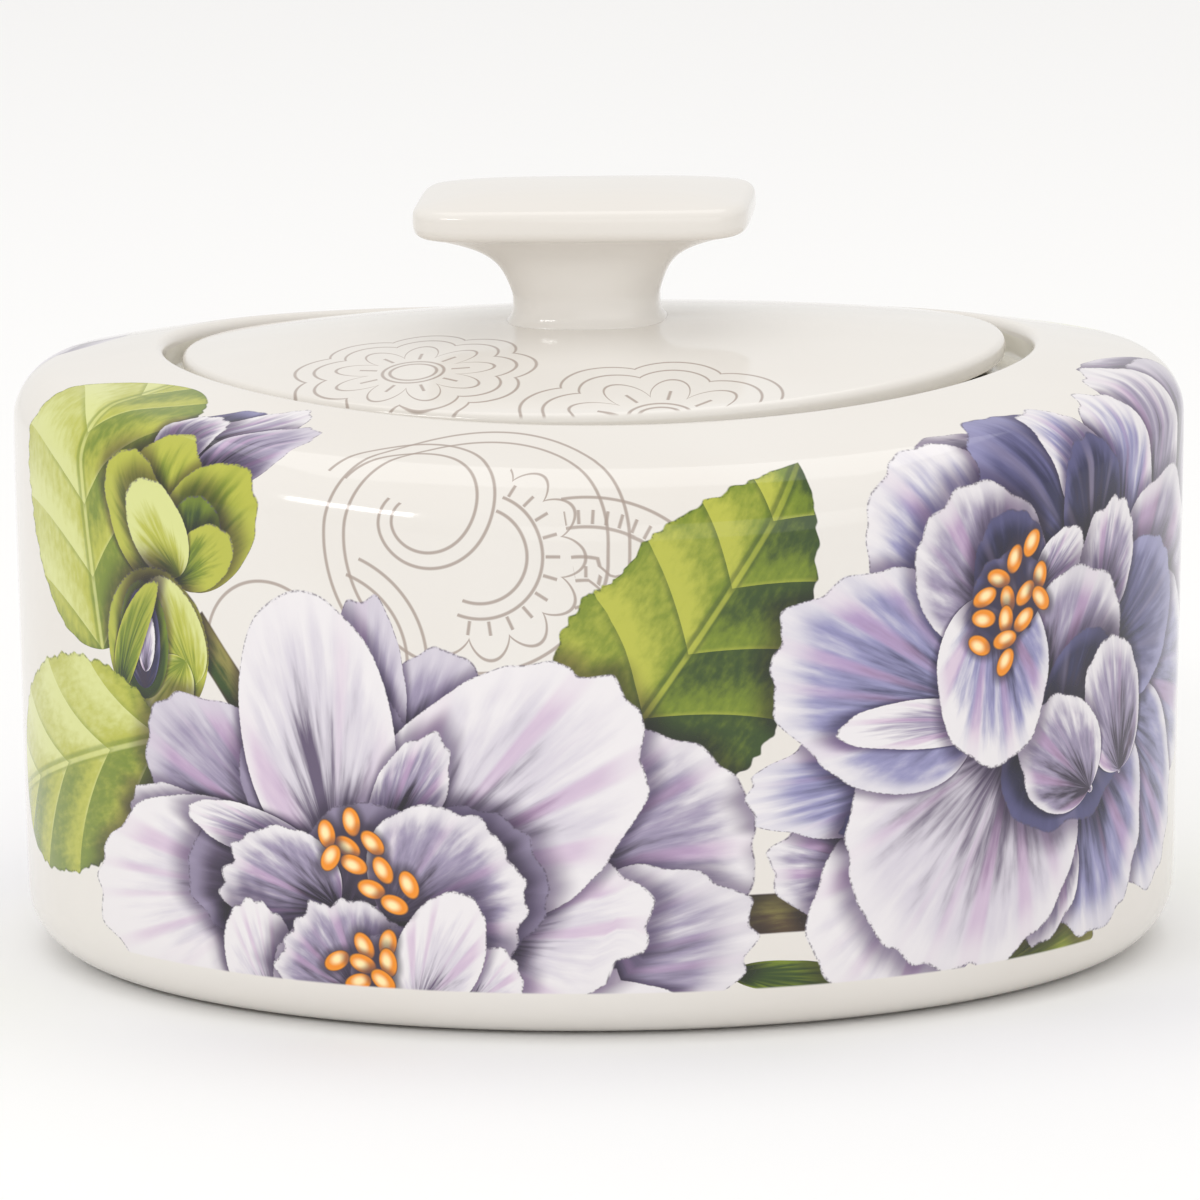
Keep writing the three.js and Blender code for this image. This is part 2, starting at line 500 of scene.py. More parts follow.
paint = {  # linear colours of the decor
    "white": (0.80, 0.77, 0.785, 1),
    "pale": (0.64, 0.60, 0.67, 1),
    "lavender": (0.32, 0.275, 0.40, 1),
    "violet": (0.115, 0.085, 0.15, 1),
    "plum": (0.035, 0.024, 0.05, 1),
    "sky": (0.29, 0.28, 0.48, 1),
    "slate": (0.10, 0.095, 0.22, 1),
    "navy": (0.024, 0.024, 0.075, 1),
    "blush": (0.55, 0.34, 0.55, 1),
    "outline": (0.09, 0.07, 0.11, 1),
    "cream": (0.66, 0.69, 0.27, 1),
    "lime": (0.46, 0.475, 0.06, 1),
    "leaf": (0.17, 0.235, 0.014, 1),
    "moss": (0.03, 0.062, 0.008, 1),
    "bark": (0.09, 0.055, 0.025, 1),
    "olive": (0.26, 0.23, 0.06, 1),
    "orange": (0.85, 0.27, 0.01, 1),
    "pollen": (1.0, 0.80, 0.42, 1),
    "sepia": (0.36, 0.29, 0.25, 1),
    "underPetal": (0.24, 0.19, 0.30, 1),
    "underLeaf": (0.32, 0.34, 0.30, 1),
}
looks = {  # light, middle, deep and tint of a petal or leaf
    "pale": ("white", "pale", "violet", "blush"),
    "soft": ("white", "lavender", "plum", "blush"),
    "lavender": ("pale", "lavender", "plum", "blush"),
    "shadow": ("lavender", "violet", "plum", "plum"),
    "blue": ("white", "sky", "navy", "blush"),
    "dusk": ("sky", "slate", "navy", "lavender"),
    "night": ("slate", "navy", "plum", "lavender"),
    "green": ("lime", "leaf", "moss", "lime"),
    "dark": ("leaf", "moss", "moss", "leaf"),
    "fresh": ("cream", "lime", "leaf", "cream"),
}


petalLook = {
    "edge": 0.14,  # millimetres over which the edge fades
    "streaks": (9.0, 2.4),  # across and along
    "streakDepth": 1.45,
    "creaseWidth": 0.22,
    "rim": 0.7,
    "shadow": 3.6,  # millimetres
    "shadowDepth": 0.85,
}


def petalGroup():  # a fan or tongue that grows from its base, with streaks and a crease along its length
    tree, start, end = newGroup("petalStroke", {
        "place": "Place, Base",
        "number": "Cover, Grain, Turn, Length, Slim, Fullness, Bend, Ruffle, Waves, Reach, Side, Crease, "
                  "Crease at, Seed",
        "colour": "Under, Light, Middle, Deep, Tint",
    }, {"colour": "Colour", "number": "Cover"})
    x, y, _ = splitXyz(tree, localXy(tree, start, "Base"))
    across = times(tree, bowed(tree, start, x, y), start["Slim"])
    reach = vectorMaths(tree, "LENGTH", joinXyz(tree, x, across), output=1)
    fan = maths(tree, "DIVIDE", across, reach)
    ahead = maths(tree, "MAXIMUM", maths(tree, "DIVIDE", x, reach), 0.01)
    margin = times(tree, start["Length"], maths(tree, "POWER", ahead, start["Fullness"]))
    raw = maths(tree, "DIVIDE", reach, margin)
    wave = noise(tree, maths(tree, "MULTIPLY_ADD", fan, start["Waves"], start["Seed"]), 1.0, 0.5, "1D")
    share = maths(tree, "MULTIPLY_ADD", minus(tree, wave, 0.5), start["Ruffle"], raw)
    soft = maths(tree, "DIVIDE", petalLook["edge"], start["Length"])
    inside = ramp(tree, share, maths(tree, "ADD", 1.0, soft), minus(tree, 1.0, soft))
    fine, long = petalLook["streaks"]
    streak = joinXyz(tree, maths(tree, "MULTIPLY_ADD", fan, fine, start["Seed"]), times(tree, raw, long))
    streak = minus(tree, noise(tree, streak, 1.0, 5.0, "2D"), 0.5)
    depth = minus(tree, 1.0, maths(tree, "DIVIDE", raw, start["Reach"]))
    depth = maths(tree, "MULTIPLY_ADD", fan, start["Side"], depth)
    depth = maths(tree, "MULTIPLY_ADD", streak, petalLook["streakDepth"], depth)
    crease = maths(tree, "ABSOLUTE", minus(tree, fan, start["Crease at"]))
    crease = times(tree, ramp(tree, crease, petalLook["creaseWidth"], 0.0), ramp(tree, raw, 0.95, 0.35))
    depth = maths(tree, "MULTIPLY_ADD", crease, start["Crease"], depth)
    colour = mixColour(tree, ramp(tree, depth, -0.45, 0.35), start["Light"], start["Middle"])
    colour = mixColour(tree, ramp(tree, depth, 0.2, 1.0), colour, start["Deep"])
    warm = times(tree, ramp(tree, wave, 0.5, 0.75, 0.0, 0.5), ramp(tree, raw, 0.15, 0.6))
    colour = mixColour(tree, warm, colour, start["Tint"])
    rim = times(tree, ramp(tree, share, 0.80, 0.97), petalLook["rim"])
    colour = mixColour(tree, rim, colour, start["Light"])
    line = ramp(tree, share, maths(tree, "MULTIPLY_ADD", soft, -2.4, 1.0), 1.0)
    line = times(tree, line, maths(tree, "MULTIPLY_ADD", start["Grain"], 0.8, 0.1))
    colour = mixColour(tree, line, colour, paint["outline"])
    beyond = maths(tree, "DIVIDE", petalLook["shadow"], start["Length"])
    shade = ramp(tree, share, maths(tree, "ADD", 1.0, beyond), 1.0)
    shade = times(tree, times(tree, shade, start["Cover"]), petalLook["shadowDepth"])
    under = mixColour(tree, shade, start["Under"], paint["underPetal"], "MULTIPLY")
    tree.links.new(mixColour(tree, inside, under, colour), end["Colour"])
    tree.links.new(maths(tree, "MAXIMUM", inside, start["Cover"]), end["Cover"])
    return tree


leafLook = {
    "edge": 0.12,  # millimetres either side of the outline
    "veinSlope": -1.5,
    "veinBow": 0.45,
    "litHalf": 0.6,
    "bedGlow": 0.42,
    "mottle": 0.5,
    "shadow": 2.5,  # millimetres
    "shadowDepth": 0.75,
}


def leafGroup():  # a pointed leaf along its midrib, lit on one half, with pale side veins
    tree, start, end = newGroup("leafStroke", {
        "place": "Place, Base",
        "number": "Cover, Grain, Turn, Length, Half, Bend, Veins, Lit, Tip, Seed",
        "colour": "Under, Light, Middle, Deep, Tint",
    }, {"colour": "Colour", "number": "Cover"})
    x, y, _ = splitXyz(tree, localXy(tree, start, "Base"))
    y = bowed(tree, start, x, y)
    along = maths(tree, "DIVIDE", x, start["Length"], clamp=True)
    rest = minus(tree, 1.0, along)
    outline = times(tree, maths(tree, "POWER", along, 0.5), maths(tree, "POWER", rest, start["Tip"]))
    teeth = noise(tree, maths(tree, "ADD", x, start["Seed"]), 0.7, 0.6, "1D")
    margin = times(tree, times(tree, outline, 2.4), start["Half"])
    jag = times(tree, minus(tree, teeth, 0.5), ramp(tree, rest, 0.0, 0.2, 0.0, 1.1))
    margin = minus(tree, maths(tree, "ADD", margin, jag), 0.2)
    away = maths(tree, "ABSOLUTE", y)
    gap = minus(tree, margin, away)
    inside = ramp(tree, gap, -leafLook["edge"], leafLook["edge"])
    out = maths(tree, "DIVIDE", away, start["Half"])
    slope = maths(tree, "MULTIPLY_ADD", out, leafLook["veinSlope"], times(tree, along, start["Veins"]))
    bed = maths(tree, "MULTIPLY_ADD", times(tree, out, out), leafLook["veinBow"], slope)
    bed = maths(tree, "FRACT", bed)
    half = ramp(tree, times(tree, y, start["Lit"]), -2.0, 2.5)
    fleck = joinXyz(tree, maths(tree, "MULTIPLY_ADD", x, 0.7, start["Seed"]), times(tree, y, 1.3))
    mottle = minus(tree, noise(tree, fleck, 1.0, 4.0, "2D"), 0.5)
    glow = ramp(tree, bed, 0.75, 0.0)
    tone = maths(tree, "MULTIPLY_ADD", half, leafLook["litHalf"], times(tree, glow, leafLook["bedGlow"]))
    tone = maths(tree, "MULTIPLY_ADD", mottle, leafLook["mottle"], tone)
    tone = minus(tree, tone, ramp(tree, along, 0.35, 0.0, 0.0, 0.35))
    tone = minus(tree, tone, ramp(tree, gap, 2.2, 0.2, 0.0, 0.15))
    colour = mixColour(tree, ramp(tree, tone, -0.1, 0.45), start["Deep"], start["Middle"])
    colour = mixColour(tree, ramp(tree, tone, 0.35, 1.0), colour, start["Light"])
    vein = times(tree, ramp(tree, bed, 0.075, 0.0), ramp(tree, out, 0.95, 0.5, 0.0, 0.4))
    rib = times(tree, ramp(tree, away, 0.42, 0.1), ramp(tree, along, 1.0, 0.5, 0.2, 0.6))
    colour = mixColour(tree, maths(tree, "MAXIMUM", vein, rib), colour, start["Tint"])
    ditch = times(tree, ramp(tree, bed, 0.88, 0.99), ramp(tree, out, 1.0, 0.3, 0.0, 0.45))
    side = times(tree, ramp(tree, times(tree, y, start["Lit"]), -0.9, -0.35), 0.55)
    side = times(tree, side, ramp(tree, away, 0.2, 0.4))
    side = times(tree, side, ramp(tree, away, 1.0, 0.6))
    colour = mixColour(tree, maths(tree, "MAXIMUM", ditch, side), colour, start["Deep"])
    line = times(tree, ramp(tree, gap, 0.4, 0.0), maths(tree, "MULTIPLY_ADD", start["Grain"], 0.7, 0.15))
    colour = mixColour(tree, line, colour, paint["moss"])
    shade = times(tree, ramp(tree, gap, -leafLook["shadow"], 0.0), start["Cover"])
    shade = times(tree, shade, leafLook["shadowDepth"])
    under = mixColour(tree, shade, start["Under"], paint["underLeaf"], "MULTIPLY")
    tree.links.new(mixColour(tree, inside, under, colour), end["Colour"])
    tree.links.new(maths(tree, "MAXIMUM", inside, start["Cover"]), end["Cover"])
    return tree


def stemGroup():  # a round stalk with a lit upper side
    tree, start, end = newGroup("stemStroke", {
        "place": "Place, Base",
        "number": "Cover, Grain, Turn, Length, Half, Bend, Seed",
        "colour": "Under, Light, Deep",
    }, {"colour": "Colour", "number": "Cover"})
    x, y, _ = splitXyz(tree, localXy(tree, start, "Base"))
    y = bowed(tree, start, x, y)
    ends = maths(tree, "MINIMUM", x, minus(tree, start["Length"], x))
    gap = maths(tree, "MINIMUM", ends, minus(tree, start["Half"], maths(tree, "ABSOLUTE", y)))
    inside = ramp(tree, gap, -0.12, 0.12)
    fibrePlace = joinXyz(tree, maths(tree, "MULTIPLY_ADD", x, 0.3, start["Seed"]), times(tree, y, 1.6))
    fibre = noise(tree, fibrePlace, 1.0, 3.0, "2D")
    lift = maths(tree, "DIVIDE", y, start["Half"])
    tone = maths(tree, "ADD", lift, maths(tree, "MULTIPLY_ADD", fibre, 1.8, -0.9))
    colour = mixColour(tree, ramp(tree, tone, -0.7, 0.8), start["Deep"], start["Light"])
    colour = mixColour(tree, times(tree, ramp(tree, gap, 0.4, 0.0), 0.6), colour, paint["bark"])
    tree.links.new(mixColour(tree, inside, start["Under"], colour), end["Colour"])
    tree.links.new(maths(tree, "MAXIMUM", inside, start["Cover"]), end["Cover"])
    return tree


def antherGroup():  # one pollen sac: pale in the middle, orange round it, a thin dark edge
    tree, start, end = newGroup("antherStroke", {
        "place": "Place, Base, Size",
        "number": "Cover, Grain, Turn",
        "colour": "Under",
    }, {"colour": "Colour", "number": "Cover"})
    local = vectorMaths(tree, "DIVIDE", localXy(tree, start, "Base"), start["Size"])
    share = vectorMaths(tree, "LENGTH", local, output=1)
    glow = vectorMaths(tree, "LENGTH", vectorMaths(tree, "SUBTRACT", local, (0.1, 0.15, 0)), output=1)
    colour = mixColour(tree, ramp(tree, glow, 0.15, 0.75), paint["pollen"], paint["orange"])
    colour = mixColour(tree, ramp(tree, share, 0.84, 1.02), colour, paint["bark"])
    halo = mixColour(tree, ramp(tree, share, 1.9, 1.0, 0.0, 0.7), start["Under"], paint["plum"])
    tree.links.new(mixColour(tree, ramp(tree, share, 1.06, 0.96), halo, colour), end["Colour"])
    tree.links.new(start["Cover"], end["Cover"])
    return tree


penLook = {
    "line": (0.26, 0.08),  # millimetres from the middle of the line: where it ends, where it is full
    "strength": 0.85,
}


def penGroup():  # a fine line round a centre: a circle, an oval, a scalloped ring, a spiral or ticks
    tree, start, end = newGroup("penStroke", {
        "place": "Place, Base",
        "number": "Cover, Grain, Turn, Radius, Squash, Lobes, Dip, From, To, Grow, Ticks, Inner, Outer",
        "colour": "Under",
    }, {"colour": "Colour", "number": "Cover"})
    x, y, _ = splitXyz(tree, localXy(tree, start, "Base"))
    y = times(tree, y, start["Squash"])
    out = vectorMaths(tree, "LENGTH", joinXyz(tree, x, y), output=1)
    angle = maths(tree, "ARCTAN2", y, x)
    lobes = times(tree, angle, times(tree, start["Lobes"], 0.5))
    scallop = maths(tree, "ABSOLUTE", maths(tree, "COSINE", lobes))
    scallop = minus(tree, 1.0, maths(tree, "POWER", scallop, 0.8))
    radius = times(tree, start["Radius"], maths(tree, "MULTIPLY_ADD", angle, start["Grow"], 1.0))
    radius = times(tree, radius, minus(tree, 1.0, times(tree, scallop, start["Dip"])))
    ring = ramp(tree, maths(tree, "ABSOLUTE", minus(tree, out, radius)), *penLook["line"])
    wave = maths(tree, "ABSOLUTE", maths(tree, "SINE", times(tree, angle, start["Ticks"])))
    apart = maths(tree, "DIVIDE", times(tree, wave, out), start["Ticks"])
    tick = times(tree, ramp(tree, apart, *penLook["line"]), maths(tree, "GREATER_THAN", out, start["Inner"]))
    tick = times(tree, tick, maths(tree, "LESS_THAN", out, start["Outer"]))
    within = maths(tree, "GREATER_THAN", angle, start["From"])
    within = times(tree, within, maths(tree, "LESS_THAN", angle, start["To"]))
    drawn = times(tree, times(tree, maths(tree, "MAXIMUM", ring, tick), within), penLook["strength"])
    tree.links.new(mixColour(tree, drawn, start["Under"], paint["sepia"]), end["Colour"])
    tree.links.new(start["Cover"], end["Cover"])
    return tree


strokeGroups = {
    "petal": petalGroup(),
    "leaf": leafGroup(),
    "stem": stemGroup(),
    "anther": antherGroup(),
    "pen": penGroup(),
}
transfer = {
    "repeat": 177.26,  # millimetres round the bowl: the transfer goes round twice
    "foot": 9.3,
}
tileSize = (transfer["repeat"] / 12, 12.0)


class Design:  # strokes in millimetres, listed back to front
    def __init__(self):
        self.strokes = []

    def add(self, kind, x, y, turn, grow, hide, **values):
        values["Base"] = (x, y, 0)
        values["Turn"] = math.radians(turn)
        self.strokes.append({"kind": kind, "values": values, "grow": grow, "hide": hide})

    def petal(self, x, y, turn, length, width, look="pale", full=0.6, bend=0.0, ruffle=0.12, waves=4.5,
              reach=0.7, side=0.0, crease=0.0, at=0.0):
        light, middle, deep, tint = (paint[name] for name in looks[look])
        slim = length / width
        loose = max(slim, 1)

        def gap(px, py):  # how far inside the petal a point lies, at least
            across = (py - bend / length * px * px) * slim
            out = numpy.hypot(px, across) + 1e-6
            margin = length * numpy.maximum(px / out, 0.01) ** full
            return margin / loose, out / loose, margin

        def grow(px, py):
            margin, out, _ = gap(px, py)
            past = out - margin * (1 + petalLook["shadow"] / length + ruffle / 2)
            return (past < 1.5) | (numpy.hypot(px, py) < 3.5)

        def hide(px, py):
            margin, out, _ = gap(px, py)
            return (out + 1.0 < margin * (1 - ruffle / 2 - 0.2 / length)) & (numpy.hypot(px, py) > 2)

        self.add(
            "petal", x, y, turn, grow, hide, Length=length, Slim=slim, Fullness=full, Bend=bend / length,
            Ruffle=ruffle, Waves=waves, Reach=reach, Side=side, Crease=crease, Seed=len(self.strokes) * 3.7,
            Light=light, Middle=middle, Deep=deep, Tint=tint, **{"Crease at": at},
        )

    def leaf(self, x, y, turn, length, half, look="green", bend=0.0, veins=5.0, lit=1.0, tip=0.85):
        light, middle, deep, tint = (paint[name] for name in looks[look])

        def inside(px, py):
            along = numpy.clip(px / length, 0, 1)
            return 2.4 * half * along ** 0.5 * (1 - along) ** tip - abs(py - bend / length * px * px)

        def grow(px, py):
            return (inside(px, py) > -4.5) & (px > -4.5) & (px < length + 4.5)

        def hide(px, py):
            return inside(px, py) > 2.0

        self.add(
            "leaf", x, y, turn, grow, hide, Length=length, Half=half, Bend=bend / length, Veins=veins,
            Lit=lit, Tip=tip, Seed=len(self.strokes) * 5.3,
            Light=light, Middle=middle, Deep=deep, Tint=tint,
        )

    def stem(self, x, y, turn, length, half, bend=0.0, light="olive", deep="bark"):
        def grow(px, py):
            return (abs(py - bend / length * px * px) < half + 1.5) & (px > -1.5) & (px < length + 1.5)

        self.add(
            "stem", x, y, turn, grow, None, Length=length, Half=half, Bend=bend / length,
            Seed=len(self.strokes) * 2.1, Light=paint[light], Deep=paint[deep],
        )

    def anthers(self, places, size=(1.6, 1.0, 1)):
        for x, y, turn in places:
            self.add("anther", x, y, turn, lambda px, py: numpy.hypot(px, py) < 4.2, None, Size=size)

    def pen(self, x, y, radius, squash=1.0, lobes=0, dip=0.0, turn=0.0, start=-181, stop=181, grow=0.0,
            ticks=1, inner=0.0, outer=0.0):
        def near(px, py):
            out = numpy.hypot(px, py * squash)
            low = radius * (1 - dip) * (1 - abs(grow) * math.pi) - 2
            high = radius * (1 + abs(grow) * math.pi) + 2
            ticked = (out > inner - 2) & (out < outer + 2) if outer else False
            return ((out > low) & (out < high)) | ticked

        self.add(
            "pen", x, y, turn, near, None, Radius=radius, Squash=squash, Lobes=lobes, Dip=dip, Grow=grow,
            From=math.radians(start), To=math.radians(stop), Ticks=ticks, Inner=inner, Outer=outer,
        )

    def inTile(self, xs, ys):  # the strokes that show on these points, and the cover under them
        shown = []
        for stroke in reversed(self.strokes):
            x, y, _ = stroke["values"]["Base"]
            turn = stroke["values"]["Turn"]
            px = (xs - x) * math.cos(turn) + (ys - y) * math.sin(turn)
            py = (ys - y) * math.cos(turn) - (xs - x) * math.sin(turn)
            if stroke["grow"](px, py).any():
                shown.append(stroke)
                if stroke["hide"] and stroke["hide"](px, py).all():
                    return shown[::-1], 1.0
        return shown[::-1], 0.0


def paintStrokes(tree, place, ground, strokes, cover):  # one stroke after another over the ground colour
    grain = ramp(tree, noise(tree, place, 2.6, 1.0, "2D"), 0.42, 0.62) if strokes else 0.0
    colour = ground
    for stroke in strokes:
        node = tree.nodes.new("ShaderNodeGroup")
        node.node_tree = strokeGroups[stroke["kind"]]
        given = {"Place": place, "Under": colour, "Cover": cover, "Grain": grain}
        for label, value in (given | stroke["values"]).items():
            feed(tree, node.inputs[label], value)
        colour = node.outputs["Colour"]
        cover = node.outputs["Cover"]
        # adds nothing, but makes the next stroke wait for this one
        place = vectorMaths(tree, "MULTIPLY_ADD", colour, (0, 0, 0), place)
    return colour


def bowlDesign():
    design = Design()
    petal, leaf, stem, pen = design.petal, design.leaf, design.stem, design.pen

    # a drawn scroll on the shoulder, with ticked arcs beside it
    pen(-14.5, 57.0, 16.0)
    pen(-14.5, 57.0, 13.8)
    pen(-20.5, 60.0, 5.6, grow=0.2, turn=-20)
    pen(-20.5, 60.0, 7.4, grow=0.17, turn=-20)
    pen(-14.0, 55.5, 11.0, lobes=13, dip=0.2, start=-110, stop=75)
    pen(-14.0, 55.5, 6.6, start=-110, stop=70)
    pen(-14.0, 55.5, 5.0, start=-110, stop=70, ticks=11, inner=6.9, outer=8.4)
    pen(-31.0, 44.0, 11.5, start=-60, stop=68)
    pen(-31.0, 44.0, 9.4, start=-60, stop=72)
    pen(-37.5, 44.5, 7.0, start=5, stop=175)
    pen(-3.0, 47.0, 14.8, start=0, stop=100)
    pen(-3.0, 47.0, 11.6, start=0, stop=100, ticks=27, inner=11.9, outer=13.4)
    pen(-3.0, 47.0, 8.6, start=0, stop=100)
    pen(-3.0, 47.0, 6.2, start=0, stop=100, ticks=16, inner=6.5, outer=7.7)
    pen(-3.0, 47.0, 3.4, start=0, stop=110)

    # upper left: leaf, opening bud, round bud
    leaf(-60.0, 41.5, 101, 34.5, 10.5, look="fresh", bend=-0.05, veins=4.5, lit=1, tip=0.42)
    petal(-50, 61, 74, 13, 9, look="dusk", full=0.9, reach=1.2)
    petal(-49, 61, 60, 16, 8, look="soft", full=1.0, reach=0.8, crease=0.5)
    petal(-46, 60, 50, 14, 8, look="lavender", full=1.1, reach=1.0)
    petal(-50, 62, 92, 9, 7, look="soft", full=0.9, reach=0.9)
    petal(-49.5, 49.4, 94, 17, 10.8, look="green", full=1.0, ruffle=0.07)
    petal(-50, 49.8, 118, 15.2, 9, look="green", full=1.0, side=-0.3, ruffle=0.06)
    petal(-48.5, 50.2, 57, 15.2, 10.8, look="green", full=0.9, reach=0.8, side=0.3, ruffle=0.07)
    petal(-47.5, 50, 74, 10, 7, look="dark", full=1.0, reach=1.0, ruffle=0.05)
    petal(-48.5, 50.2, 40, 9, 6.3, look="green", full=1.1, reach=0.6, side=0.4, ruffle=0.05)
    petal(-48.0, 51, 124, 11.2, 8, look="fresh", full=1.1, reach=0.55, side=0.5, ruffle=0.05)
    stem(-46.5, 46.5, -52, 12, 1.7, light="olive", deep="moss")
    petal(-51.6, 34.9, 91, 16.5, 14.5, look="green", full=1.0, reach=0.9, ruffle=0.03)
    petal(-46.2, 39.8, 118, 12, 7.5, look="fresh", full=1.0, reach=0.8, side=0.3, ruffle=0.04)
    petal(-47.5, 42.0, 232, 10, 7.0, look="fresh", full=1.0, reach=0.8, side=-0.3, ruffle=0.04)
    petal(-53.4, 37.3, 90, 12.5, 7.2, look="dark", full=1.0, reach=1.4, ruffle=0.03)
    petal(-53.4, 38.4, 91, 10.5, 5.2, look="night", full=1.1, reach=1.1, ruffle=0.03)
    petal(-53.2, 40.2, 86, 6.5, 2.6, look="soft", full=1.1, reach=0.6, ruffle=0.03)
    petal(-57.2, 37.3, 80, 13.5, 4.2, look="green", full=1.2, bend=-0.25, reach=0.9, ruffle=0.03)
    leaf(-51.0, 33.4, 196, 33, 9.3, look="fresh", bend=0.06, veins=3.8, lit=-1, tip=0.45)

    # the branch and the leaf between the blossoms
    stem(3, 17.4, 0, 20, 2.1)
    petal(12, 11.2, -6, 14, 3.6, look="dark", full=1.0)
    leaf(-2.0, 32.0, 53, 40.5, 13.4, look="green", bend=0.05, veins=5.0, lit=1, tip=0.98)

    # left blossom, outer petals first
    petal(-25, 25, 66, 22, 14, look="lavender", full=1.1, reach=1.0, crease=0.5, at=0.2)
    petal(-27, 25, 88, 26, 10, look="lavender", full=1.2, reach=0.9, crease=0.4)
    petal(-9, 23, 10, 24, 19.5, look="soft", full=0.45, reach=0.8, side=0.25, ruffle=0.1)
    petal(-16, 10, 12, 31, 16, look="soft", full=0.5, reach=1.0, side=-0.25)
    petal(-17, 6, -2, 27, 10, reach=0.5)
    petal(-16, 15, 10, 20, 13, full=0.5, ruffle=0.1)
    petal(-34, 24, 148, 22, 14, look="lavender", reach=0.9, side=0.3, ruffle=0.08)
    petal(-27, 23, 110, 20, 18, look="shadow", reach=1.2)
    petal(
        -22, 21.5, 40, 30, 20, look="pale",
        full=0.5, reach=0.75, crease=0.35, at=-0.35, ruffle=0.09, waves=5.5,
    )
    petal(-23, 19, 12, 16, 14, look="shadow", full=0.5, reach=1.4)
    petal(
        -30.0, 22.5, 98, 28.5, 16.4, look="pale",
        full=0.8, reach=0.75, crease=0.75, at=0.12, ruffle=0.05, waves=2.5,
    )
    petal(-25, 24, 62, 14, 7.5, look="soft", full=1.1, reach=0.9, crease=0.6, ruffle=0.14)
    petal(-37, 19, 155, 20, 9, look="soft", full=0.8, reach=0.8, bend=0.05)
    petal(-36, 19, 188, 26, 16, full=0.42, reach=0.6, side=-0.2, ruffle=0.1)
    petal(-31, 19, 175, 17, 12, look="shadow", reach=1.3)
    petal(-31.5, 22.5, 161, 16.5, 5.4, look="soft", full=1.1, bend=0.1, ruffle=0.06)
    petal(-30, 15, 200, 13, 14, look="shadow", full=0.5, reach=1.3)
    petal(-30, 14, 62, 16, 15, look="shadow", full=0.8, reach=2.2, ruffle=0.08)
    petal(-29.5, 17.5, 168, 14, 11, look="soft", full=0.5, reach=0.9, ruffle=0.2, waves=5.5)
    petal(-37, 5, 106, 13, 8, full=0.7, reach=0.6)
    petal(-33, 4, 82, 12, 9, look="soft", reach=0.9, ruffle=0.14)
    petal(-24.5, 16.5, 26, 15.5, 15.5, look="soft", full=0.45, reach=0.9, ruffle=0.16, waves=6)
    petal(-31, 7, 20, 12, 11, look="shadow", full=0.8, reach=2.2, ruffle=0.08)
    petal(-27, 8, 122, 11, 12, look="soft", full=0.5, reach=1.0, ruffle=0.2, waves=6)
    petal(-24, 6, 70, 10.5, 10, look="shadow", reach=1.3, ruffle=0.14)
    petal(-15.5, 8, 55, 7, 7, full=0.7, reach=0.6)
    petal(-21.4, 7.0, 66, 14, 8.6, full=0.8, reach=0.6, side=-0.3, ruffle=0.04)
    design.anthers([
        (-28.0, 26.9, 100), (-25.7, 24.8, 135), (-28.5, 24.2, 150), (-30.8, 25.4, 100), (-27.8, 22.4, 160),
        (-24.6, 22.0, 120), (-21.8, 20.6, 115), (-25.9, 19.9, 165), (-23.4, 18.4, 160), (-30.4, 22.9, 60),
        (-26.8, 13.8, 120), (-24.2, 14.2, 80), (-29.9, 12.0, 30), (-27.0, 11.9, 160), (-24.2, 12.2, 100),
        (-27.6, 9.8, 20), (-24.8, 10.2, 140),
    ])

    # right blossom, outer petals first
    petal(41, 7.5, 12, 17, 7, look="green", full=0.9, reach=0.8)
    petal(84, 67, 160, 15, 8, look="lavender", full=0.9, reach=0.8)
    petal(70, 46, 60, 27, 18, look="lavender", full=0.7, reach=1.2, crease=0.4)
    petal(66, 46, 76, 28, 15, look="soft", full=0.8, reach=0.8, crease=0.5, at=0.1)
    petal(61, 47, 86, 22, 12, look="blue", full=0.8, reach=0.8, crease=0.4)
    petal(62, 42, 12, 23, 22, look="soft", full=0.5, reach=1.2)
    petal(60, 38, -18, 25, 20, look="blue", full=0.5, reach=1.2)
    petal(48, 62, 166, 14, 6.5, look="soft", full=1.0)
    petal(43, 46, 124, 22, 18, look="blue", reach=0.8, side=0.2)
    petal(55, 50, 122, 22, 14, look="dusk", reach=1.0, crease=0.5)
    petal(58, 51, 104, 19, 8, look="blue", full=0.8, reach=0.9, bend=0.1)
    petal(56, 50, 88, 14, 9, look="night", full=0.8, reach=1.0)
    petal(60, 34, -55, 24, 16, look="blue", reach=1.2)
    petal(54, 33, 284, 23, 17, look="blue", full=0.5, reach=1.15, crease=0.4, at=0.2)
    petal(52, 23, 250, 13, 9, look="soft", full=0.8, reach=0.8)
    petal(30, 21, 172, 14, 10, look="soft", full=0.7, reach=0.9)
    petal(36, 23, 232, 19, 17, full=0.5)
    petal(42, 32.5, 186, 28.5, 11, look="blue", full=0.7, reach=1.0, crease=0.6, at=-0.15)
    petal(41, 30.5, 197, 18, 6, look="night", full=1.0, reach=1.0)
    petal(
        45, 33.5, 240, 26, 23.5, look="pale",
        full=0.42, reach=0.95, crease=0.3, at=0.3, ruffle=0.1, waves=6,
    )
    petal(41, 37, 160, 26, 18, look="blue", full=0.42, reach=0.95, ruffle=0.1, waves=5)
    petal(42.5, 35.0, 170, 19, 5.5, look="soft", full=1.1, bend=0.12, reach=0.6, ruffle=0.05)
    petal(50, 38, 300, 16, 18, look="night", full=0.5, reach=1.3)
    petal(58, 40, 20, 18, 14, look="dusk", reach=0.9)
    petal(57, 44, 72, 13, 9, look="soft", full=0.8, reach=0.8, side=-0.3)
    petal(43.5, 45, 114, 16.5, 13.5, look="soft", full=0.5, reach=0.95, ruffle=0.08)
    petal(45, 45.5, 98, 12, 9, look="night", full=0.7, reach=1.2)
    petal(47.5, 48, 42, 9, 5.5, look="soft", full=0.9)
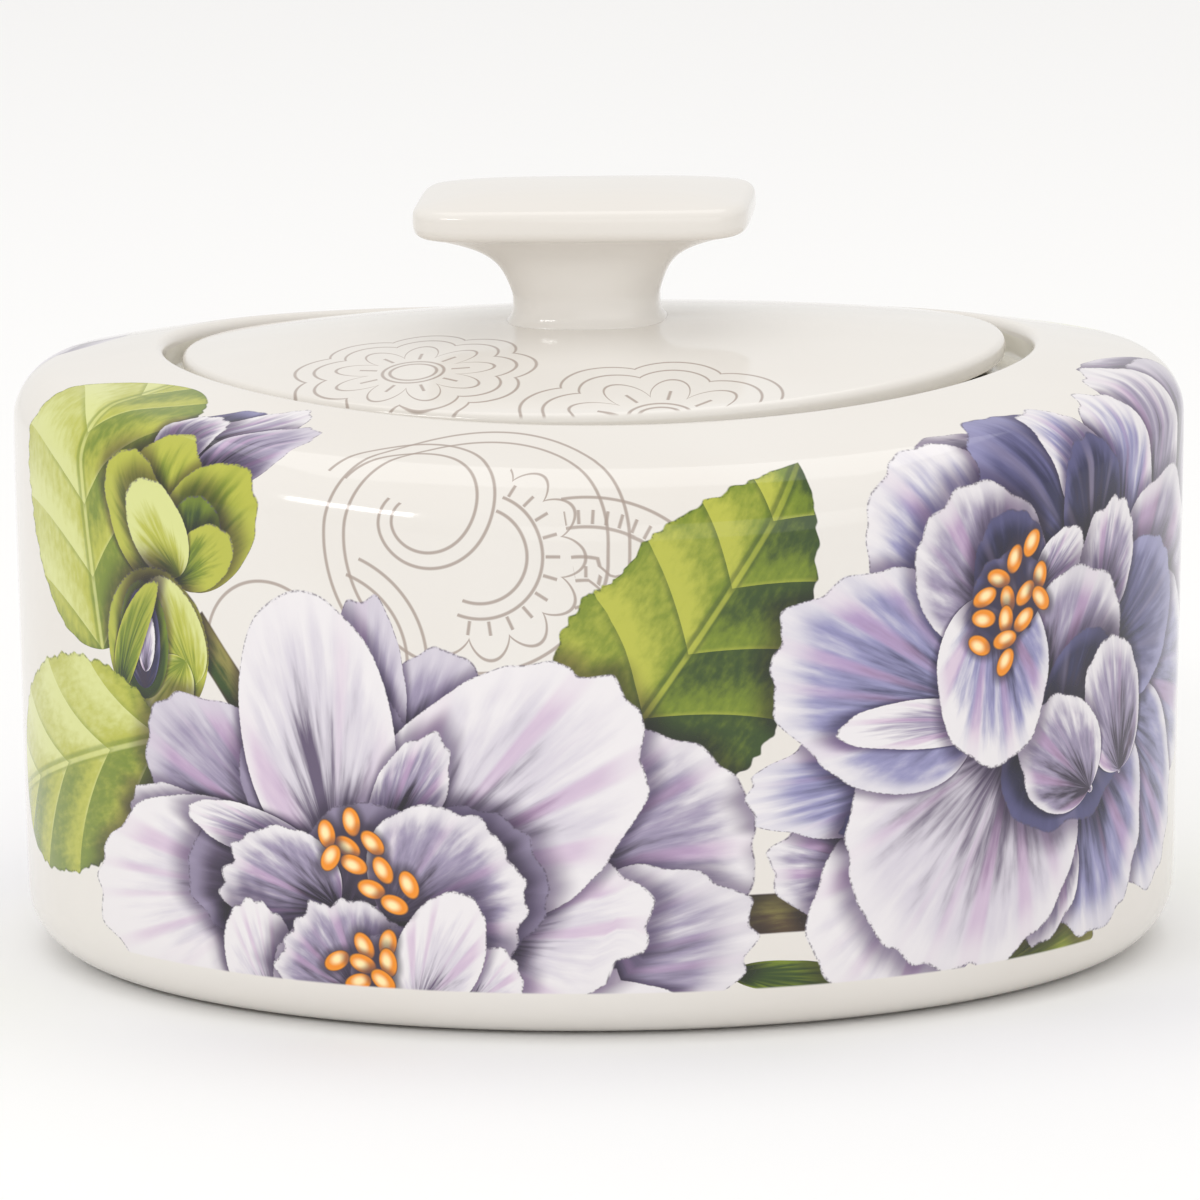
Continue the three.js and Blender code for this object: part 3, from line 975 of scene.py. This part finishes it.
    petal(48, 33, 58, 19, 15, look="soft", full=0.7, reach=1.0, side=0.3, ruffle=0.06)
    petal(51, 32, 52, 13, 10, look="night", full=0.7, reach=1.3, ruffle=0.06)
    petal(62, 27, 100, 15, 10, look="soft", full=0.8, reach=0.9, side=-0.3, ruffle=0.14)
    petal(56.5, 26, 136, 13, 11, look="soft", full=0.7, reach=0.9, side=0.3, ruffle=0.14)
    petal(
        41.5, 49, 274, 18.5, 12.5, look="blue",
        full=0.6, reach=0.75, side=0.35, crease=0.4, at=0.25, ruffle=0.06,
    )
    petal(46.5, 45, 130, 9, 9, look="night", full=0.7, reach=1.4)
    design.anthers([
        (44.5, 52.2, 70), (46.8, 53.6, 60), (42.4, 50.4, 160), (40.6, 48.6, 20), (43.6, 48.0, 100),
        (48.0, 50.0, 80), (46.0, 48.4, 45), (48.2, 47.6, 130), (40.5, 46.4, 170), (43.4, 45.9, 90),
        (45.8, 45.6, 40), (40.0, 43.6, 150), (43.3, 43.8, 10), (43.4, 41.4, 60),
    ])
    return design


def lidDesign():  # two drawn rosettes at the front of the lid
    design = Design()
    for x, y, radius in ((-19.4, -18.7, 12.9), (6.0, -34.6, 15.2)):
        for share, lobes, dip in ((1.0, 9, 0.13), (0.84, 9, 0.16), (0.66, 9, 0.45), (0.25, 0, 0)):
            design.pen(x, y, radius * share, lobes=lobes, dip=dip, turn=80)
        design.pen(x, y, radius * 0.19, turn=80, ticks=4.5, inner=radius * 0.31, outer=radius * 0.46)
    return design


glaze = {
    "colour": (0.775, 0.745, 0.703, 1),
    "pooled": (0.752, 0.716, 0.668, 1),
    # painted light: a lighter, yellower colour for the seat and walls inside the bowl's mouth, round the lid
    "litSeat": (0.81, 0.782, 0.70, 1),
    "bare": (0.62, 0.56, 0.49, 1),
    "coat": 0.15,
    "coatRoughness": 0.03,
    "roughness": (0.06, 0.11),
    "bareRoughness": 0.6,
    "bump": 0.02,
    "cloudScale": 28.0,
    "shineScale": 90.0,
    "bumpScale": 140.0,
    "wiped": (0.35 * mm, 0.15 * mm),
    "litSeatHeight": (45 * mm, 60 * mm),
}


def glazeMaterial(name, strokes=(), cover=0.0, where=None, litSeat=False):
    # clear glaze over the off-white body and its decor; inside the bowl's mouth a lighter, yellower colour
    # is painted light in the gap round the lid
    material = bpy.data.materials.new(name)
    material.use_nodes = True
    tree = material.node_tree
    shader = tree.nodes["Principled BSDF"]
    spot = tree.nodes.new("ShaderNodeTexCoord").outputs["Object"]
    cloud = ramp(tree, noise(tree, spot, glaze["cloudScale"], 2.0), 0.35, 0.7)
    colour = mixColour(tree, cloud, glaze["colour"], glaze["pooled"])
    side, across, height = splitXyz(tree, spot)
    # painted light: the seat and the walls high inside the mouth are lightened and yellowed where the gap
    # round the lid lies
    if litSeat:
        side = maths(tree, "DIVIDE", side, bowlShape["mouthLength"])
        across = maths(tree, "DIVIDE", across, bowlShape["mouthDepth"])
        within = ramp(tree, vectorMaths(tree, "LENGTH", joinXyz(tree, side, across), output=1), 1.015, 1.0)
        within = times(tree, within, ramp(tree, height, *glaze["litSeatHeight"]))
        colour = mixColour(tree, within, colour, glaze["litSeat"])
    if strokes:
        place, shows = where(tree, spot)
        colour = mixColour(tree, shows, colour, paintStrokes(tree, place, colour, strokes, cover))
    bare = ramp(tree, height, *glaze["wiped"])  # the foot ring is wiped clean of glaze
    tree.links.new(mixColour(tree, bare, colour, glaze["bare"]), shader.inputs["Base Color"])
    shine = ramp(tree, noise(tree, spot, glaze["shineScale"], 2.0), 0.3, 0.7, *glaze["roughness"])
    shine = maths(tree, "MULTIPLY_ADD", bare, glaze["bareRoughness"], shine)
    tree.links.new(shine, shader.inputs["Roughness"])
    shader.inputs["Coat Roughness"].default_value = glaze["coatRoughness"]
    coat = maths(tree, "MULTIPLY_ADD", bare, -glaze["coat"], glaze["coat"])
    tree.links.new(coat, shader.inputs["Coat Weight"])
    bump = tree.nodes.new("ShaderNodeBump")
    bump.inputs["Strength"].default_value = glaze["bump"]
    bump.inputs["Distance"].default_value = mm
    tree.links.new(noise(tree, spot, glaze["bumpScale"], 1.0), bump.inputs["Height"])
    tree.links.new(bump.outputs[0], shader.inputs["Normal"])
    return material


def printPlace(tree, spot):  # round the bowl and up its skin, in millimetres, and where the print begins
    uv = tree.nodes.new("ShaderNodeUVMap")
    uv.uv_map = "print"
    across, up, _ = splitXyz(tree, vectorMaths(tree, "MULTIPLY", uv.outputs[0], (1000, 1000, 1000)))
    across = maths(tree, "WRAP", across, transfer["repeat"] / 2, -transfer["repeat"] / 2)
    return joinXyz(tree, across, up), ramp(tree, up, transfer["foot"], transfer["foot"] + 0.3)


def lidPlace(tree, spot):  # straight down on the lid, in millimetres, and where its flat top ends
    away = [-lidSeat["shift"][i] / mm for i in (0, 1)]
    flat = vectorMaths(tree, "MULTIPLY_ADD", spot, (1000, 1000, 0), (*away, 0))
    x, y, _ = splitXyz(tree, flat)
    edge = [(bowlShape[side] - lidShape["gap"]) / mm - 0.2 for side in ("mouthLength", "mouthDepth")]
    out = vectorMaths(tree, "LENGTH", vectorMaths(tree, "DIVIDE", flat, (*edge, 1)), output=1)
    return joinXyz(tree, x, y), ramp(tree, out, 1.0, 0.99)


def decorate(piece, design, corners, where):  # each tile gets a material with just its own strokes
    piece.data.materials.append(glazeMaterial(piece.name + "Glaze", litSeat=piece is bowl))
    tiles = {}
    for face, spots in corners.items():
        x, y = spots.mean(axis=0)
        tiles.setdefault((math.floor(x / tileSize[0]), math.floor(y / tileSize[1])), []).append(face)
    counts = []
    half = transfer["repeat"] / 2
    for _, faces in sorted(tiles.items()):
        spots = numpy.concatenate([corners[face] for face in faces])
        low, high = spots.min(axis=0), spots.max(axis=0)
        xs, ys = numpy.meshgrid(*(numpy.arange(low[i], high[i] + 1, 1.0) for i in (0, 1)))
        strokes, cover = design.inTile((xs + half) % (2 * half) - half, ys)
        if strokes:
            counts.append(len(strokes) * len(faces))
            name = f"{piece.name}Print{len(piece.data.materials)}"
            piece.data.materials.append(glazeMaterial(name, strokes, cover, where))
            for face in faces:
                piece.data.polygons[face].material_index = len(piece.data.materials) - 1
    printed = len(piece.data.materials) - 1
    print(piece.name, "tiles:", printed, "mean strokes:", sum(counts) / max(len(corners), 1))


def bowlCorners(piece):  # where each printed face's corners lie on the transfer
    found = {}
    places = numpy.zeros(len(piece.data.loops) * 2)
    piece.data.uv_layers["print"].data.foreach_get("uv", places)
    places = places.reshape(-1, 2) / mm
    for face in piece.data.polygons:
        spots = places[face.loop_start:face.loop_start + face.loop_total]
        if spots[:, 1].min() > 0 and spots[:, 1].max() > transfer["foot"]:
            turns = round(spots[:, 0].mean() / transfer["repeat"])
            found[face.index] = spots - (turns * transfer["repeat"], 0)
    return found


def lidCorners(piece):
    found = {}
    for face in piece.data.polygons:
        if face.normal.z > 0.3 and face.center.z > crown["top"] - 12 * mm:
            found[face.index] = numpy.array([piece.data.vertices[i].co[:2] for i in face.vertices]) / mm
    return found


decorate(bowl, bowlDesign(), bowlCorners(bowl), printPlace)
decorate(lid, lidDesign(), lidCorners(lid), lidPlace)
knob.data.materials.append(glazeMaterial("knobGlaze"))


def plainMaterial(name, colour, roughness):
    material = bpy.data.materials.new(name)
    material.use_nodes = True
    shader = material.node_tree.nodes["Principled BSDF"]
    shader.inputs["Base Color"].default_value = (*colour, 1)
    shader.inputs["Roughness"].default_value = roughness
    return material


stageLook = {"size": 6, "colour": (0.93, 0.93, 0.93)}
clearSelection()
bpy.ops.mesh.primitive_plane_add(size=stageLook["size"], location=(0, 0, 0))
floor = bpy.context.object
floor.name = "floor"
floor.data.materials.append(plainMaterial("paleFloor", stageLook["colour"], 0.9))

skyLight = {"colour": (1, 0.99, 0.975, 1), "strength": 0.88}
world = bpy.data.worlds.new("studio")
bpy.context.scene.world = world
world.use_nodes = True
background = world.node_tree.nodes["Background"]
background.inputs["Color"].default_value = skyLight["colour"]
background.inputs["Strength"].default_value = skyLight["strength"]

softboxes = [
    {"name": "overhead", "place": (0.0, 0.1, 0.9), "size": (0.9, 0.6), "power": 1.6},
    {"name": "frontLeft", "place": (-0.8, -0.9, 0.7), "size": (0.5, 0.14), "power": 2.2},
    {"name": "frontFill", "place": (0.35, -1.3, 0.25), "size": (1.4, 0.8), "power": 2.4},
]
for box in softboxes:
    data = bpy.data.lights.new(box["name"], "AREA")
    data.shape = "RECTANGLE"
    data.size, data.size_y = box["size"]
    data.energy = box["power"]
    lamp = bpy.data.objects.new(box["name"], data)
    bpy.context.collection.objects.link(lamp)
    lamp.location = box["place"]
    lamp.rotation_euler = (Vector((0, 0, 0.03)) - lamp.location).to_track_quat("-Z", "Y").to_euler()

cameraPlace = {
    "turn": math.radians(1.8),
    "rise": math.radians(11.59),
    "roll": math.radians(0.3),
    "distance": 1.0505,
    "aim": 36.8 * mm,
    "lens": 294.3,
}
cameraData = bpy.data.cameras.new("camera")
camera = bpy.data.objects.new("camera", cameraData)
bpy.context.collection.objects.link(camera)
flat = cameraPlace["distance"] * math.cos(cameraPlace["rise"])
camera.location = (
    -flat * math.sin(cameraPlace["turn"]),
    -flat * math.cos(cameraPlace["turn"]),
    cameraPlace["aim"] + cameraPlace["distance"] * math.sin(cameraPlace["rise"]),
)
look = Matrix.Rotation(-cameraPlace["turn"], 4, "Z")
look @= Matrix.Rotation(math.pi / 2 - cameraPlace["rise"], 4, "X")
camera.rotation_euler = (look @ Matrix.Rotation(-cameraPlace["roll"], 4, "Z")).to_euler()
cameraData.lens = cameraPlace["lens"]
cameraData.sensor_width = 36
cameraData.clip_start = 0.05
cameraData.clip_end = 20
bpy.context.scene.camera = camera
bpy.context.scene.view_settings.view_transform = "Standard"

print("ready")
